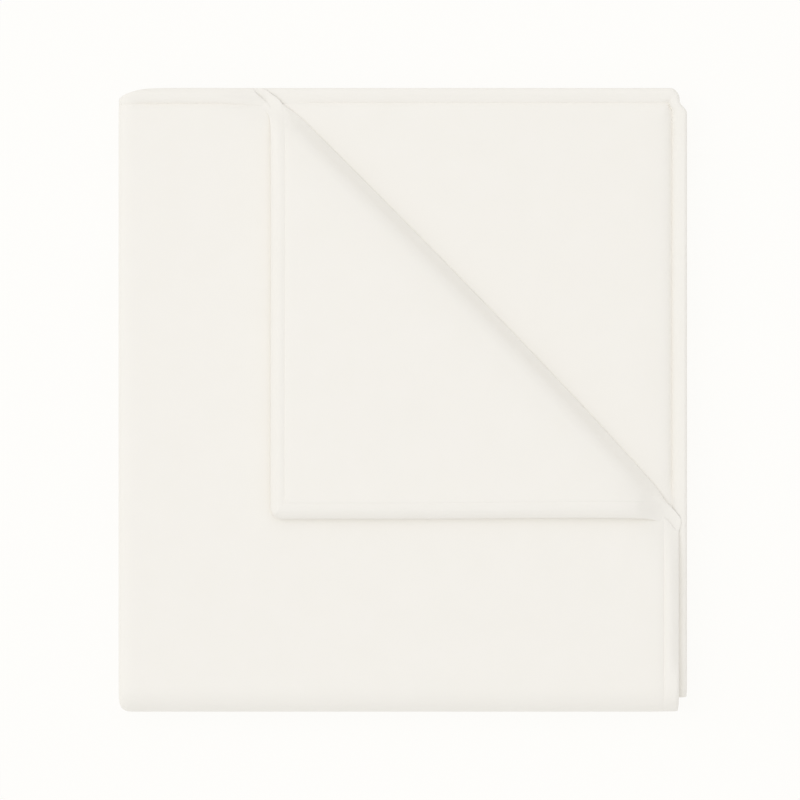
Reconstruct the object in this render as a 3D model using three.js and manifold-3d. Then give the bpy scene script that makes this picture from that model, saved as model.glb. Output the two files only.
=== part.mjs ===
// A thin filled comforter with a rolled binding, folded in quarters and laid flat, with the free
// corner of its top layer turned back over the rest. Millimetres, +Z up. The origin is the middle of
// the flat underside, the left and bottom edges are folds, and the top and right edges are bound.
//
// Both pieces are shaped in the flat cloth first. A point of the flat cloth is given by
//   across: the distance from the left fold line, positive on the layer that ends up on top,
//   along: the distance from the bottom fold line, positive on the upper two layers,
//   proud: the height over the middle of the cloth's thickness, positive on its outer face.
// foldedPoint then carries it round the two folds and over the turned-back corner.

import * as THREE from "three";
import { mergeVertices } from "three/addons/utils/BufferGeometryUtils.js";
import Module from "manifold-3d";

// Outline of the folded comforter, seen from above
const LEFT_FOLD_X = -232.5;
const BOTTOM_FOLD_Y = -255.4;
const TOP_EDGE_Y = 255.4;
const TOP_LAYER_RIGHT_X = 225.5;
const SECOND_LAYER_RIGHT_X = 232.5;

// The cloth's thickness, and the distance from one layer to the next
const LAYER_THICKNESS = 10.8;
const LAYER_PITCH = 11.5;

// The body narrows towards its seams and is highest in the middle
const SEAM_THICKNESS = 7.6;
const DRAWN_IN_WIDTH = 24;
const CROWN_HEIGHT = 2.5;

// The binding round the free edges
const BINDING_WIDTH = 12;
const BINDING_THICKNESS = 10.4;
const SEAM_GAP = 0.9;
const CORNER_RADIUS = 12.5;

// The turned-back corner: where its crease meets the top edge and the right edge, how far the roll
// bows out between them, how far along the crease the bow is greatest, and how soon the turned
// cloth lies as if folded on the straight line
const CREASE_TOP_X = -108.2;
const CREASE_RIGHT_Y = -97.2;
const CREASE_BOW = 6.4;
const CREASE_BOW_PLACE = 0.72;
const CREASE_BOW_END_REACH = 0.42;
const CREASE_SETTLE = 60;

// The stack of padding pulls the bound edges in at the left fold and at the second layer's corner
const FOLD_DRAW = 14;
const FOLD_DRAW_WIDTH = 7;
const FOLD_DRAW_ROUNDING = 3;
const FOLD_DRAW_DEPTH = 40;
const CORNER_DRAW = 6;
const CORNER_DRAW_START = 20.5;
const CORNER_DRAW_FULL = 13;
const CORNER_DRAW_DEPTH = 8;

// The turned-back corner is made apart and joined to the top layer, which is cut off before the
// crease. The corner starts a little thinner, so that it enters the cut. All are reaches beyond the
// crease's straight line, so those on the layer are negative.
const CUT_REACH = -24;
const CORNER_ROOT_REACH = -31;
const CORNER_FULL_REACH = -18;
const ROOT_THINNING = 0.4;

// Facets: the longest step on open cloth, where it narrows, and round each fold
const OPEN_STEP = 140;
const NARROW_STEP = 8;
const LEFT_FOLD_STEP = 2.4;
const BOTTOM_FOLD_STEP = 3.1;
const ROLL_STEPS = 8;
const CREASE_CLOSE_STEP = 3.4;
const CREASE_NEAR_STEP = 18;
const CREASE_OPEN_STEP = 45;
const LEAST_STEP = 0.02;
const BINDING_OPEN_STEP = 60;
const BINDING_SIDES = 8;
const CORNER_STEPS = 4;

// The left fold joins the two layers of each pair, and the bottom fold joins the pairs
const foldRadius = LAYER_PITCH / 2;
const leftFold = {
  centreX: LEFT_FOLD_X + foldRadius + LAYER_THICKNESS / 2,
  halfArc: (Math.PI * foldRadius) / 2,
};
const topLayerHeight = 1.5 * LAYER_PITCH;
const bottomFold = {
  centreY: BOTTOM_FOLD_Y + topLayerHeight + LAYER_THICKNESS / 2,
  centreZ: topLayerHeight + LAYER_THICKNESS / 2,
  halfArc: (Math.PI * LAYER_PITCH) / 2,
};

// Edges of the flat cloth
const flatEdge = {
  topLayer: acrossOf(TOP_LAYER_RIGHT_X),
  secondLayer: acrossOf(SECOND_LAYER_RIGHT_X),
  end: alongOf(TOP_EDGE_Y),
};

// The crease of the turned-back corner, as a line from the top edge to the right edge, and the level
// direction that the corner was carried back along
const creaseStart = new THREE.Vector2(CREASE_TOP_X, TOP_EDGE_Y);
const creaseRun = new THREE.Vector2(TOP_LAYER_RIGHT_X, CREASE_RIGHT_Y).sub(creaseStart);
const turnDirection = new THREE.Vector2(TOP_LAYER_RIGHT_X, TOP_EDGE_Y)
  .sub(new THREE.Vector2(CREASE_TOP_X, CREASE_RIGHT_Y))
  .normalize();
const rollLength = Math.PI * foldRadius;

// Extra height of the folded comforter's top, a low dome that ends at the outline.
function crownAt(x, y) {
  const acrossFall = 1 - (x / LEFT_FOLD_X) ** 2;
  const alongFall = 1 - (y / TOP_EDGE_Y) ** 2;
  return CROWN_HEIGHT * Math.max(0, acrossFall) * Math.max(0, alongFall);
}

// Place of a level point measured from the crease: fraction of the way down the crease, and reach
// beyond it in the turn direction.
function creaseCoordinates(x, y) {
  const offset = new THREE.Vector2(x, y).sub(creaseStart);
  const scale = creaseRun.cross(turnDirection);
  return { fraction: offset.cross(turnDirection) / scale, reach: creaseRun.cross(offset) / scale };
}

// Reach at which the cloth leaves the flat and starts to roll over, so that the roll's outside stands
// on the bowed line.
function rollStart(fraction) {
  const side = fraction < CREASE_BOW_PLACE ? CREASE_BOW_PLACE : CREASE_BOW_END_REACH;
  const fall = THREE.MathUtils.clamp((fraction - CREASE_BOW_PLACE) / side, -1, 1);
  return CREASE_BOW * (1 - fall * fall) - foldRadius - LAYER_THICKNESS / 2;
}

// How far round the roll a point is: 0 before it, 1 past it.
function turnedShare(crease) {
  return THREE.MathUtils.clamp((crease.reach - rollStart(crease.fraction)) / rollLength, 0, 1);
}

// The top layer's own place on the plan, before its corner is turned, and the way back to the flat
// cloth.
function topLayerPlan(across, along) {
  return {
    x: leftFold.centreX + across - leftFold.halfArc,
    y: bottomFold.centreY + along - bottomFold.halfArc,
  };
}

function acrossOf(x) {
  return x - leftFold.centreX + leftFold.halfArc;
}

function alongOf(y) {
  return y - bottomFold.centreY + bottomFold.halfArc;
}

// Carries a point of the top layer over the crease: round a half circle of the fold radius, then
// back over the layer, settling to the line that a straight fold would give.
function turnedPoint(plan, crease, proud) {
  const start = rollStart(crease.fraction);
  const angle = Math.PI * turnedShare(crease);
  const past = Math.max(0, crease.reach - start - rollLength);
  const settled = (2 * start + rollLength) * (1 - Math.exp(-past / CREASE_SETTLE));
  const beforeRoll = Math.min(crease.reach, start);
  const reach = beforeRoll + (foldRadius - proud) * Math.sin(angle) - past - settled;
  const x = plan.x + (reach - crease.reach) * turnDirection.x;
  const y = plan.y + (reach - crease.reach) * turnDirection.y;
  const rise = foldRadius - (foldRadius - proud) * Math.cos(angle);
  return new THREE.Vector3(x, y, bottomFold.centreZ + topLayerHeight + rise + crownAt(x, y));
}

// Pulls the flat cloth in, along the edges at the left fold and across the second layer's corner.
function drawnIn(across, along) {
  const endGap = flatEdge.end - Math.abs(along);
  const fromFold = Math.hypot(across, FOLD_DRAW_ROUNDING) - FOLD_DRAW_ROUNDING;
  const foldPull = FOLD_DRAW * Math.exp(-fromFold / FOLD_DRAW_WIDTH - endGap / FOLD_DRAW_DEPTH);
  const cornerShare =
    along > 0 ? 1 - THREE.MathUtils.smoothstep(endGap, CORNER_DRAW_FULL, CORNER_DRAW_START) : 0;
  const sideGap = flatEdge.secondLayer + across;
  const cornerPull = CORNER_DRAW * cornerShare * Math.exp(-((sideGap / CORNER_DRAW_DEPTH) ** 2));
  return { across: across + cornerPull, along: along - Math.sign(along) * foldPull };
}

// Whether a point lies on the top layer, past both folds.
function isOnTopLayer(across, along) {
  return across > leftFold.halfArc && along > bottomFold.halfArc;
}

// Carries a point of the flat cloth round the left fold, which is a half circle between the two
// layers of a pair, and then round the bottom fold, which turns the whole pair over.
function layeredPoint(flatAcross, flatAlong, proud) {
  const { across, along } = drawnIn(flatAcross, flatAlong);
  const leftAngle = THREE.MathUtils.clamp(across / leftFold.halfArc, -1, 1) * (Math.PI / 2);
  const pastLeft = Math.max(0, Math.abs(across) - leftFold.halfArc);
  const x = leftFold.centreX + pastLeft - (foldRadius + proud) * Math.cos(leftAngle);
  const height = LAYER_PITCH + (foldRadius + proud) * Math.sin(leftAngle);
  const bottomAngle = THREE.MathUtils.clamp(along / bottomFold.halfArc, -1, 1) * (Math.PI / 2);
  const pastBottom = Math.max(0, Math.abs(along) - bottomFold.halfArc);
  const y = bottomFold.centreY + pastBottom - height * Math.cos(bottomAngle);
  const lift = isOnTopLayer(across, along) ? crownAt(x, y) : 0;
  return new THREE.Vector3(x, y, bottomFold.centreZ + height * Math.sin(bottomAngle) + lift);
}

// Carries a point of the flat cloth to its folded place, over the turned-back corner too.
function foldedPoint(across, along, proud) {
  const plan = topLayerPlan(across, along);
  const crease = creaseCoordinates(plan.x, plan.y);
  const isTurned = isOnTopLayer(across, along) && turnedShare(crease) > 0;
  return isTurned ? turnedPoint(plan, crease, proud) : layeredPoint(across, along, proud);
}

// Half of the body's thickness: it swells in a quarter wave from the nearest seam.
function halfThickness(across, along) {
  const seamInset = BINDING_WIDTH + SEAM_GAP;
  const fromSeam = Math.min(
    flatEdge.topLayer - seamInset - across,
    flatEdge.secondLayer - seamInset + across,
    flatEdge.end - seamInset - Math.abs(along),
  );
  const swell = Math.sin((THREE.MathUtils.clamp(fromSeam / DRAWN_IN_WIDTH, 0, 1) * Math.PI) / 2);
  return THREE.MathUtils.lerp(SEAM_THICKNESS, LAYER_THICKNESS, swell) / 2;
}

// Height of one face of the body over its middle, on the side 1 or -1. The top layer's inner face
// reaches down through the dome to the layer below, and less and less so round the roll.
function faceHeight(across, along, side) {
  const half = halfThickness(across, along);
  if (side > 0 || !isOnTopLayer(across, along)) return side * half;
  const plan = topLayerPlan(across, along);
  const turned = turnedShare(creaseCoordinates(plan.x, plan.y));
  return -half - crownAt(plan.x, plan.y) * (1 - THREE.MathUtils.smoothstep(turned, 0, 1));
}

// Positions from start to end, one open step apart at most, and closer within the given spans.
function gridLines(start, end, openStep, closeSpans) {
  const stops = [start, ...closeSpans.flatMap((span) => [span.from, span.to]), end];
  const ordered = [...new Set(stops)].sort((a, b) => a - b);
  const lines = [start];
  for (let index = 1; index < ordered.length; index += 1) {
    const from = ordered[index - 1];
    const to = ordered[index];
    const middle = (from + to) / 2;
    const span = closeSpans.find((close) => middle > close.from && middle < close.to);
    const count = Math.ceil((to - from) / (span ? span.step : openStep));
    for (let step = 1; step <= count; step += 1) lines.push(from + ((to - from) * step) / count);
  }
  return lines;
}

function geometryFrom(points, triangles) {
  const geometry = new THREE.BufferGeometry().setFromPoints(points);
  geometry.setIndex(triangles);
  geometry.computeVertexNormals();
  return geometry;
}

// A closed padded sheet on a grid of columns and rows: its outer face, its inner face and the rim
// between them. pointAt gives the point of a column and row on the side 1 or -1.
function paddedSheet(columns, rows, pointAt) {
  const points = [];
  for (const side of [1, -1]) {
    for (let row = 0; row < rows; row += 1) {
      for (let column = 0; column < columns; column += 1) points.push(pointAt(column, row, side));
    }
  }
  const inner = columns * rows;
  const triangles = [];
  for (let row = 0; row + 1 < rows; row += 1) {
    for (let column = 0; column + 1 < columns; column += 1) {
      const a = row * columns + column;
      const [b, c, d] = [a + 1, a + columns + 1, a + columns];
      triangles.push(a, b, c, a, c, d, inner + a, inner + c, inner + b, inner + a, inner + d, inner + c);
    }
  }
  const rim = [];
  for (let column = 0; column + 1 < columns; column += 1) rim.push(column);
  for (let row = 0; row + 1 < rows; row += 1) rim.push(row * columns + columns - 1);
  for (let column = columns - 1; column > 0; column -= 1) rim.push((rows - 1) * columns + column);
  for (let row = rows - 1; row > 0; row -= 1) rim.push(row * columns);
  rim.forEach((a, index) => {
    const b = rim[(index + 1) % rim.length];
    triangles.push(a, inner + a, inner + b, a, inner + b, b);
  });
  return geometryFrom(points, triangles);
}

// The stretches of flat cloth that bend round the two folds, which need close grid lines.
const leftFoldSpan = {
  from: -leftFold.halfArc - 2 * FOLD_DRAW_WIDTH,
  to: leftFold.halfArc + 2 * FOLD_DRAW_WIDTH,
  step: LEFT_FOLD_STEP,
};
const bottomFoldSpan = { from: -bottomFold.halfArc, to: bottomFold.halfArc, step: BOTTOM_FOLD_STEP };

// The body's four layers with no corner turned: one sheet on a grid of the flat cloth.
function layersGeometry() {
  const inset = BINDING_WIDTH + SEAM_GAP;
  const left = -(flatEdge.secondLayer - inset);
  const right = flatEdge.topLayer - inset;
  const end = flatEdge.end - inset;
  const acrossLines = gridLines(left, right, OPEN_STEP, [
    { from: left, to: left + DRAWN_IN_WIDTH, step: NARROW_STEP },
    leftFoldSpan,
    { from: right - DRAWN_IN_WIDTH, to: right, step: NARROW_STEP },
  ]);
  const alongLines = gridLines(-end, end, OPEN_STEP, [
    { from: -end, to: -end + DRAWN_IN_WIDTH, step: NARROW_STEP },
    bottomFoldSpan,
    { from: end - DRAWN_IN_WIDTH, to: end, step: NARROW_STEP },
  ]);
  return paddedSheet(acrossLines.length, alongLines.length, (column, row, side) => {
    const [across, along] = [acrossLines[column], alongLines[row]];
    return layeredPoint(across, along, faceHeight(across, along, side));
  });
}

// Reach from a place on the crease's straight line to the nearer seam of the turned-back corner.
function seamReach(fraction, inset) {
  const base = creaseRun.clone().multiplyScalar(fraction).add(creaseStart);
  const toSide = (TOP_LAYER_RIGHT_X - inset - base.x) / turnDirection.x;
  const toTop = (TOP_EDGE_Y - inset - base.y) / turnDirection.y;
  return Math.min(toSide, toTop);
}

// Reaches of the grid lines at one station of the crease: the root, the roll, and the turned cloth
// out to its seam, closer where it narrows. Lines that a short station has no room for close up at
// its seam.
function stationReaches(fraction, inset) {
  const seam = seamReach(fraction, inset);
  const start = rollStart(fraction);
  const end = start + rollLength;
  const roll = Array.from({ length: ROLL_STEPS + 1 }, (_, step) => start + (rollLength * step) / ROLL_STEPS);
  const settling = [0.25, 0.6].map((share) => THREE.MathUtils.lerp(end, seam, share));
  const narrowing = [1, 0.6, 0.25, 0].map((share) => Math.max(seam - share * DRAWN_IN_WIDTH, end));
  const reaches = [CORNER_ROOT_REACH, CORNER_FULL_REACH, ...roll, ...settling, ...narrowing];
  let limit = seam;
  for (let line = reaches.length - 1; line > 0; line -= 1) {
    reaches[line] = Math.min(reaches[line], limit);
    limit = reaches[line] - LEAST_STEP;
  }
  return reaches;
}

// The turned-back corner: stations down the crease, from where the top seam meets its root to where
// the side seam does, and closest at both ends, where the seams cross the roll.
function turnedCornerGeometry() {
  const inset = BINDING_WIDTH + SEAM_GAP + ROOT_THINNING;
  const tipReach = CORNER_ROOT_REACH + 1;
  const topTip = TOP_EDGE_Y - inset - tipReach * turnDirection.y;
  const sideTip = TOP_LAYER_RIGHT_X - inset - tipReach * turnDirection.x;
  const first = (topTip - creaseStart.y) / creaseRun.y;
  const last = (sideTip - creaseStart.x) / creaseRun.x;
  const point = creaseCoordinates(TOP_LAYER_RIGHT_X - inset, TOP_EDGE_Y - inset).fraction;
  const chord = creaseRun.length();
  const close = (rollLength - CORNER_ROOT_REACH) / chord;
  const near = close + CREASE_SETTLE / chord;
  const fractions = gridLines(first, last, CREASE_OPEN_STEP / chord, [
    { from: first, to: first + close, step: CREASE_CLOSE_STEP / chord },
    { from: first + close, to: first + near, step: CREASE_NEAR_STEP / chord },
    { from: point, to: point, step: CREASE_OPEN_STEP / chord },
    { from: last - near, to: last - close, step: CREASE_NEAR_STEP / chord },
    { from: last - close, to: last, step: CREASE_CLOSE_STEP / chord },
  ]);
  const stations = fractions.map((fraction) => ({ fraction, reaches: stationReaches(fraction, inset) }));
  return paddedSheet(stations.length, stations[0].reaches.length, (column, row, side) => {
    const { fraction, reaches } = stations[column];
    const x = creaseStart.x + creaseRun.x * fraction + turnDirection.x * reaches[row];
    const y = creaseStart.y + creaseRun.y * fraction + turnDirection.y * reaches[row];
    const across = acrossOf(x);
    const along = alongOf(y);
    const thinning = reaches[row] < CUT_REACH ? ROOT_THINNING : 0;
    return foldedPoint(across, along, faceHeight(across, along, side) - side * thinning);
  });
}

// The block that takes the corner off the untouched top layer, from the gap under it upwards.
function cornerBlockGeometry() {
  const beyond = creaseRun.clone().multiplyScalar(0.5);
  const start = creaseStart.clone().addScaledVector(turnDirection, CUT_REACH).sub(beyond);
  const end = creaseStart.clone().add(creaseRun).addScaledVector(turnDirection, CUT_REACH).add(beyond);
  const outward = turnDirection.clone().multiplyScalar(creaseRun.length());
  const outline = new THREE.Shape([start, end, end.clone().add(outward), start.clone().add(outward)]);
  const block = new THREE.ExtrudeGeometry(outline, { depth: 4 * LAYER_PITCH, bevelEnabled: false });
  return block.translate(0, 0, bottomFold.centreZ + LAYER_PITCH);
}

// Stations of the binding round the flat cloth, anticlockwise on its outer face. Each is a point of
// the rectangle that the round corners are centred on, and the angle that the edge faces there.
function bindingStations() {
  const left = -(flatEdge.secondLayer - CORNER_RADIUS);
  const right = flatEdge.topLayer - CORNER_RADIUS;
  const end = flatEdge.end - CORNER_RADIUS;
  const creaseSpans = (place) => [
    { from: place - rollLength, to: place + 2 * rollLength, step: CREASE_CLOSE_STEP },
    { from: place + 2 * rollLength, to: place + 2 * CREASE_SETTLE, step: CREASE_NEAR_STEP },
  ];
  const pulledCorner = { from: end - CORNER_DRAW_START, to: end, step: LEFT_FOLD_STEP };
  const acrossLines = (spans) => gridLines(left, right, BINDING_OPEN_STEP, [leftFoldSpan, ...spans]);
  const alongLines = (spans) => gridLines(-end, end, BINDING_OPEN_STEP, [bottomFoldSpan, ...spans]);
  const corner = (across, along, facing) =>
    Array.from({ length: CORNER_STEPS - 1 }, (_, step) => ({
      across,
      along,
      facing: facing + ((step + 1) * 90) / CORNER_STEPS,
    }));
  return [
    ...alongLines(creaseSpans(alongOf(CREASE_RIGHT_Y))).map((along) => ({ across: right, along, facing: 0 })),
    ...corner(right, end, 0),
    ...acrossLines(creaseSpans(acrossOf(CREASE_TOP_X)))
      .reverse()
      .map((across) => ({ across, along: end, facing: 90 })),
    ...corner(left, end, 90),
    ...alongLines([pulledCorner])
      .reverse()
      .map((along) => ({ across: left, along, facing: 180 })),
    ...corner(left, -end, 180),
    ...acrossLines([]).map((across) => ({ across, along: -end, facing: 270 })),
    ...corner(right, -end, 270),
  ];
}

// The binding: an eight-sided ring at each station, carried to its folded place, and joined to the
// next one all the way round.
function bindingGeometry() {
  const stations = bindingStations();
  const toCorners = 1 / Math.cos(Math.PI / BINDING_SIDES);
  const points = stations.flatMap(({ across, along, facing }) => {
    const turn = THREE.MathUtils.degToRad(facing);
    return Array.from({ length: BINDING_SIDES }, (_, side) => {
      const round = (2 * Math.PI * (side + 0.5)) / BINDING_SIDES;
      const outward = CORNER_RADIUS + (BINDING_WIDTH / 2) * (toCorners * Math.cos(round) - 1);
      const proud = (BINDING_THICKNESS / 2) * toCorners * Math.sin(round);
      return foldedPoint(across + outward * Math.cos(turn), along + outward * Math.sin(turn), proud);
    });
  });
  const triangles = [];
  for (let station = 0; station < stations.length; station += 1) {
    const ring = station * BINDING_SIDES;
    const nextRing = ((station + 1) % stations.length) * BINDING_SIDES;
    for (let side = 0; side < BINDING_SIDES; side += 1) {
      const nextSide = (side + 1) % BINDING_SIDES;
      triangles.push(ring + side, nextRing + side, nextRing + nextSide);
      triangles.push(ring + side, nextRing + nextSide, ring + nextSide);
    }
  }
  return geometryFrom(points, triangles);
}

// A solid for joining and cutting, from a geometry whose equal corners are merged.
function solidFrom(geometry) {
  geometry.deleteAttribute("normal");
  geometry.deleteAttribute("uv");
  const merged = mergeVertices(geometry);
  const vertProperties = new Float32Array(merged.getAttribute("position").array);
  return new wasm.Manifold(
    new wasm.Mesh({ numProp: 3, vertProperties, triVerts: new Uint32Array(merged.index.array) }),
  );
}

// The whole body: the four layers without their corner, joined with the turned-back corner.
function bodyGeometry() {
  const layers = solidFrom(layersGeometry());
  const turnedCorner = solidFrom(turnedCornerGeometry());
  const { vertProperties, triVerts } = layers
    .subtract(solidFrom(cornerBlockGeometry()))
    .add(turnedCorner)
    .getMesh();
  const geometry = new THREE.BufferGeometry();
  geometry.setAttribute("position", new THREE.BufferAttribute(vertProperties, 3));
  geometry.setIndex(new THREE.BufferAttribute(triVerts, 1));
  geometry.computeVertexNormals();
  return geometry;
}

function clothMaterial(color) {
  return new THREE.MeshStandardMaterial({ color, roughness: 0.85, metalness: 0 });
}

const wasm = await Module();
wasm.setup();

const body = new THREE.Mesh(bodyGeometry(), clothMaterial(0xf4f1ea));
body.name = "comforter";

const binding = new THREE.Mesh(bindingGeometry(), clothMaterial(0xf5f2ec));
binding.name = "binding";

const comforter = new THREE.Group();
comforter.add(body, binding);

export default comforter;
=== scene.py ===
"""A thin filled crib comforter, folded in quarters, with its free corner turned back.

The comforter is shaped in the flat first. A point of the flat cloth is given by three lengths:
across (from the left fold line, positive on the top layer), along (from the bottom fold line,
positive on the upper pair of layers) and proud (over the middle of the cloth's thickness, positive
on its outer face). FoldedCloth carries such points round the two folds and over the turned-back
corner. Everything is in metres, with +Z up and the origin in the middle of the flat underside.
"""

import logging
from dataclasses import dataclass
from enum import Enum

import bpy
import numpy as np
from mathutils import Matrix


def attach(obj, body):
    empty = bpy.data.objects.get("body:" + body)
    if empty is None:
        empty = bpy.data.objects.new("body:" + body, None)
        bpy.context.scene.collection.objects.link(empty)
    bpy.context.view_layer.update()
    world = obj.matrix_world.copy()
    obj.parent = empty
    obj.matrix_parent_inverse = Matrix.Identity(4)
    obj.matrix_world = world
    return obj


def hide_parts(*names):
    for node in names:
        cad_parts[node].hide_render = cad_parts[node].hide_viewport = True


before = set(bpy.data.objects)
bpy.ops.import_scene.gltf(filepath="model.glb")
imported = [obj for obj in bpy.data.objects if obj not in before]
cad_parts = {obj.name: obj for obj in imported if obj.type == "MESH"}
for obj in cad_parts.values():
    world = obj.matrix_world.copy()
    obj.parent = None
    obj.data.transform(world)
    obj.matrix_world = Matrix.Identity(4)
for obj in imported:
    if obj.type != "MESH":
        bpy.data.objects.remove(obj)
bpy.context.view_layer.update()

# values at points of the cloth
Array = np.ndarray
LOG = logging.getLogger("comforter")
MM = 0.001
# less than any step between the grid's shares, to take up rounding
ROUNDING = 1e-6


class Face(Enum):
    """The two faces of the filled cloth."""

    OUTER = 1.0
    INNER = -1.0


def linear_rgb(hex_code: str) -> tuple[float, float, float, float]:
    """Turns an sRGB hex colour into linear RGBA.

    Args:
        hex_code: six hex digits, such as "F4F1EA".

    Returns:
        The four linear channels, with an alpha of 1.
    """
    channels = [int(hex_code[i : i + 2], 16) / 255 for i in (0, 2, 4)]
    linear = [c / 12.92 if c <= 0.04045 else ((c + 0.055) / 1.055) ** 2.4 for c in channels]
    return (*linear, 1.0)


def smooth_step(value: Array, low: float, high: float) -> Array:
    """Rises from 0 at low to 1 at high as t*t*(3 - 2*t), level at both ends."""
    t = np.clip((value - low) / (high - low), 0, 1)
    return t * t * (3 - 2 * t)


def spaced(start: float, end: float, step: float) -> Array:
    """Even positions from start to end, no further apart than step, with both ends."""
    return np.linspace(start, end, max(1, int(np.ceil((end - start) / step))) + 1)


def joined_lines(*pieces: Array) -> Array:
    """Joins runs of grid positions into one rising list without repeats."""
    return np.unique(np.round(np.concatenate(pieces), 9))


@dataclass(frozen=True)
class FoldedCloth:
    """The sizes of the folded comforter, and the way from the flat cloth to its folded place.

    Left, right, top and bottom are as seen from above, with +Y upwards. A share has no unit.
    """

    # where the folds and the free edges lie
    left_fold_x: float = -232.5 * MM
    bottom_fold_y: float = -255.4 * MM
    top_edge_y: float = 255.4 * MM
    top_layer_right_x: float = 225.5 * MM
    second_layer_right_x: float = 232.5 * MM

    # the stack: one layer, the step from layer to layer, the dome and the left fold's squareness
    thickness: float = 10.8 * MM
    pitch: float = 11.5 * MM
    crown: float = 2.5 * MM
    fold_fullness: float = 2.7

    # the crease of the turned-back corner, and how far its roll bows out
    crease_top_x: float = -108.2 * MM
    crease_right_y: float = -97.2 * MM
    crease_bow: float = 6.4 * MM
    crease_bow_place: float = 0.72
    crease_bow_end_reach: float = 0.42
    crease_settle: float = 30 * MM
    slack_end_share: float = 0.3

    # how far the roll and the turned-back corner are pressed down
    crease_press: float = 0.28
    crease_end_press: float = 0.68
    press_width: float = 24 * MM
    press_end_share: float = 0.07
    end_merge_full: float = 9 * MM
    end_merge_reach: float = 38 * MM

    # the foot of the roll, which spreads over the second layer
    crease_toe: float = 16 * MM
    toe_power: float = 3.0
    toe_sink: float = 1.2 * MM
    toe_fade: float = 40 * MM
    toe_end_share: float = 0.07

    # the turned-back corner's edges at both ends of the crease
    top_flare: float = 11 * MM
    side_flare: float = 4 * MM
    flare_start: float = 15 * MM
    flare_width: float = 4.5 * MM
    end_sink: float = 0.2 * MM

    # the top layer's free edges, which lie thinner
    edge_drop: float = 1.1 * MM
    edge_press: float = 0.24
    edge_press_width: float = 4.5 * MM
    edge_press_start: float = 25 * MM

    # the sag of the top layer's top seam
    top_sag: float = 1.5 * MM
    top_sag_growth: float = 2.4 * MM
    sag_start_x: float = -205 * MM
    sag_growth_x: float = -150 * MM
    sag_end_width: float = 26 * MM
    sag_depth: float = 34 * MM
    sag_edge_hold: float = 0.8
    sag_edge_width: float = 5 * MM

    # the edges drawn in at the left fold and at the second layer's corner
    fold_draw: float = 9 * MM
    fold_draw_width: float = 7.5 * MM
    fold_draw_rounding: float = 3 * MM
    fold_draw_depth: float = 26 * MM
    corner_draw: float = 6 * MM
    corner_draw_start: float = 20 * MM
    corner_draw_full: float = 11 * MM
    corner_draw_width: float = 16 * MM

    # the seams: how far in from the edge, how deep, and where they fade
    seam_inset: float = 12.5 * MM
    outer_seam_depth: float = 1.8 * MM
    top_seam_depth: float = 3.4 * MM
    flap_seam_depth: float = 0.9 * MM
    flap_bottom_seam_depth: float = 0.25 * MM
    second_seam_depth: float = 2.4 * MM
    second_seam_start: float = 12 * MM
    second_seam_rise: float = 45 * MM
    second_side_seam_depth: float = 5.4 * MM
    second_side_least_depth: float = 0.5 * MM
    second_side_fade: float = 34 * MM
    fold_seam_share: float = 0.08
    fold_seam_fade: float = 22 * MM
    corner_change: float = 8 * MM

    @property
    def fold_radius(self) -> float:
        """Radius of the middle of the cloth where two layers join."""
        return self.pitch / 2

    @property
    def left_centre_x(self) -> float:
        """Where the left fold's rounds are centred."""
        return self.left_fold_x + self.fold_radius + self.thickness / 2

    @property
    def left_half_arc(self) -> float:
        """Half of the cloth's length round the left fold."""
        return np.pi * self.fold_radius / 2

    @property
    def top_layer_height(self) -> float:
        """Height of the top layer over the bottom fold's centre."""
        return 1.5 * self.pitch

    @property
    def bottom_centre_y(self) -> float:
        """Where the bottom fold's half circles are centred."""
        return self.bottom_fold_y + self.top_layer_height + self.thickness / 2

    @property
    def bottom_centre_z(self) -> float:
        """Height of the bottom fold's centre over the surface the comforter lies on."""
        return self.top_layer_height + self.thickness / 2

    @property
    def bottom_half_arc(self) -> float:
        """Half of the cloth's length round the bottom fold."""
        return np.pi * self.pitch / 2

    @property
    def second_layer_top(self) -> float:
        """Height of the second layer's upper face."""
        return self.bottom_centre_z + self.pitch / 2 + self.thickness / 2

    def across_of(self, x: Array | float) -> Array | float:
        """Gives the flat position of a place x on the top layer."""
        return x - self.left_centre_x + self.left_half_arc

    def along_of(self, y: Array | float) -> Array | float:
        """Gives the flat position of a place y on the upper layers."""
        return y - self.bottom_centre_y + self.bottom_half_arc

    def x_of(self, across: Array) -> Array:
        """Gives the place x of flat positions across the top layer."""
        return across + self.left_centre_x - self.left_half_arc

    def y_of(self, along: Array) -> Array:
        """Gives the place y of flat positions along the upper layers."""
        return along + self.bottom_centre_y - self.bottom_half_arc

    @property
    def top_layer_edge(self) -> float:
        """Flat position of the top layer's side edge."""
        return self.across_of(self.top_layer_right_x)

    @property
    def second_layer_edge(self) -> float:
        """Flat position of the second layer's side edge, as a distance from the fold."""
        return self.across_of(self.second_layer_right_x)

    @property
    def end_edge(self) -> float:
        """Flat position of the top edges, as a distance from the bottom fold."""
        return self.along_of(self.top_edge_y)

    @property
    def crease_start(self) -> Array:
        """Where the crease of the turned-back corner meets the top edge."""
        return np.array([self.crease_top_x, self.top_edge_y])

    @property
    def crease_run(self) -> Array:
        """The crease's straight line, from the top edge to the side edge."""
        return np.array([self.top_layer_right_x, self.crease_right_y]) - self.crease_start

    @property
    def turn_direction(self) -> Array:
        """The level direction that the corner was carried back along, pointing away from the flap."""
        far = np.array([self.top_layer_right_x, self.top_edge_y])
        near = np.array([self.crease_top_x, self.crease_right_y])
        return (far - near) / np.linalg.norm(far - near)

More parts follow.
